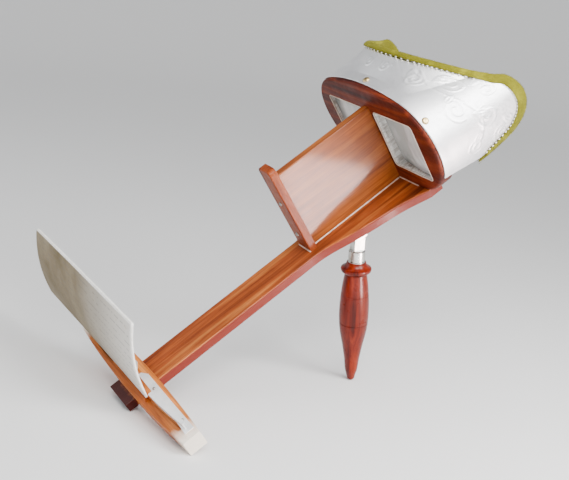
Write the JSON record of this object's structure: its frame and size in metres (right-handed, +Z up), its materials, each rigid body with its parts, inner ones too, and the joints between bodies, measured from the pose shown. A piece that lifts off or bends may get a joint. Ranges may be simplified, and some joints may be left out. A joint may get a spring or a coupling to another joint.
{
  "type": "hand-held stereo viewer",
  "caption": "Antique hand-held stereo viewer with an embossed metal eye hood on a wooden lens board, folding handle and sliding card carrier with a card.",
  "frame": {"origin": "on the table below the middle of the viewer as it stands by itself, at the bottom centre of its box", "axes": "+Z up from the table, +X towards the viewer's right-hand end of the card carrier, +Y from the card end towards the eye hood"},
  "size_m": [0.2366, 0.2312, 0.2358],
  "materials": {
    "bar_wood": "oiled",
    "board_wood": "oiled",
    "grip_wood": "polished",
    "hood_aluminium": "embossed, polished",
    "velvet": "pile",
    "nickel": "nickel plated",
    "steel": "plain",
    "spring_tin": "tinned",
    "brass": "worn",
    "lens_glass": "clear",
    "card_board": "aged"
  },
  "bodies": {
    "frame": {"bar": "bar_wood", "stop_pin": "steel", "lens_board": "board_wood", "board_screws": "steel", "lens_left": "lens_glass", "lens_right": "lens_glass", "lens_retainer_left": "steel", "lens_retainer_right": "steel", "septum": "board_wood", "septum_slat": "bar_wood", "septum_screws": "steel", "slat_nails": "steel", "hood": "hood_aluminium", "hood_binding": "velvet", "hood_nails": "brass", "handle_bracket": "nickel", "bracket_screws": "nickel", "hinge_pin": "nickel"},
    "handle": {"handle_tongue": "nickel", "handle_ferrule": "nickel", "handle_grip": "grip_wood"},
    "carrier": {"carrier_crosspiece": "bar_wood", "carrier_keeper": "spring_tin", "carrier_spring": "spring_tin", "keeper_screws": "steel", "clip_left": "spring_tin", "clip_right": "spring_tin", "clip_brads": "steel"},
    "card": {"stereo_card": "card_board"}
  },
  "joints": [
    {"name": "carrier_slide", "type": "slide", "parent": "frame", "child": "carrier", "axis": [0.0568, 0.7884, 0.6126], "range_m": [-0.004, 0.117]},
    {"name": "handle_fold", "type": "hinge", "parent": "frame", "child": "handle", "pos_m": [0.03937, 0.05202, 0.11043], "axis": [-0.9957, 0, 0.0923], "range_deg": [0, 52]},
    {"name": "card_lift", "type": "slide", "parent": "carrier", "child": "card", "axis": [0.0728, -0.6152, 0.785], "range_m": [0, 0.055]}
  ]
}
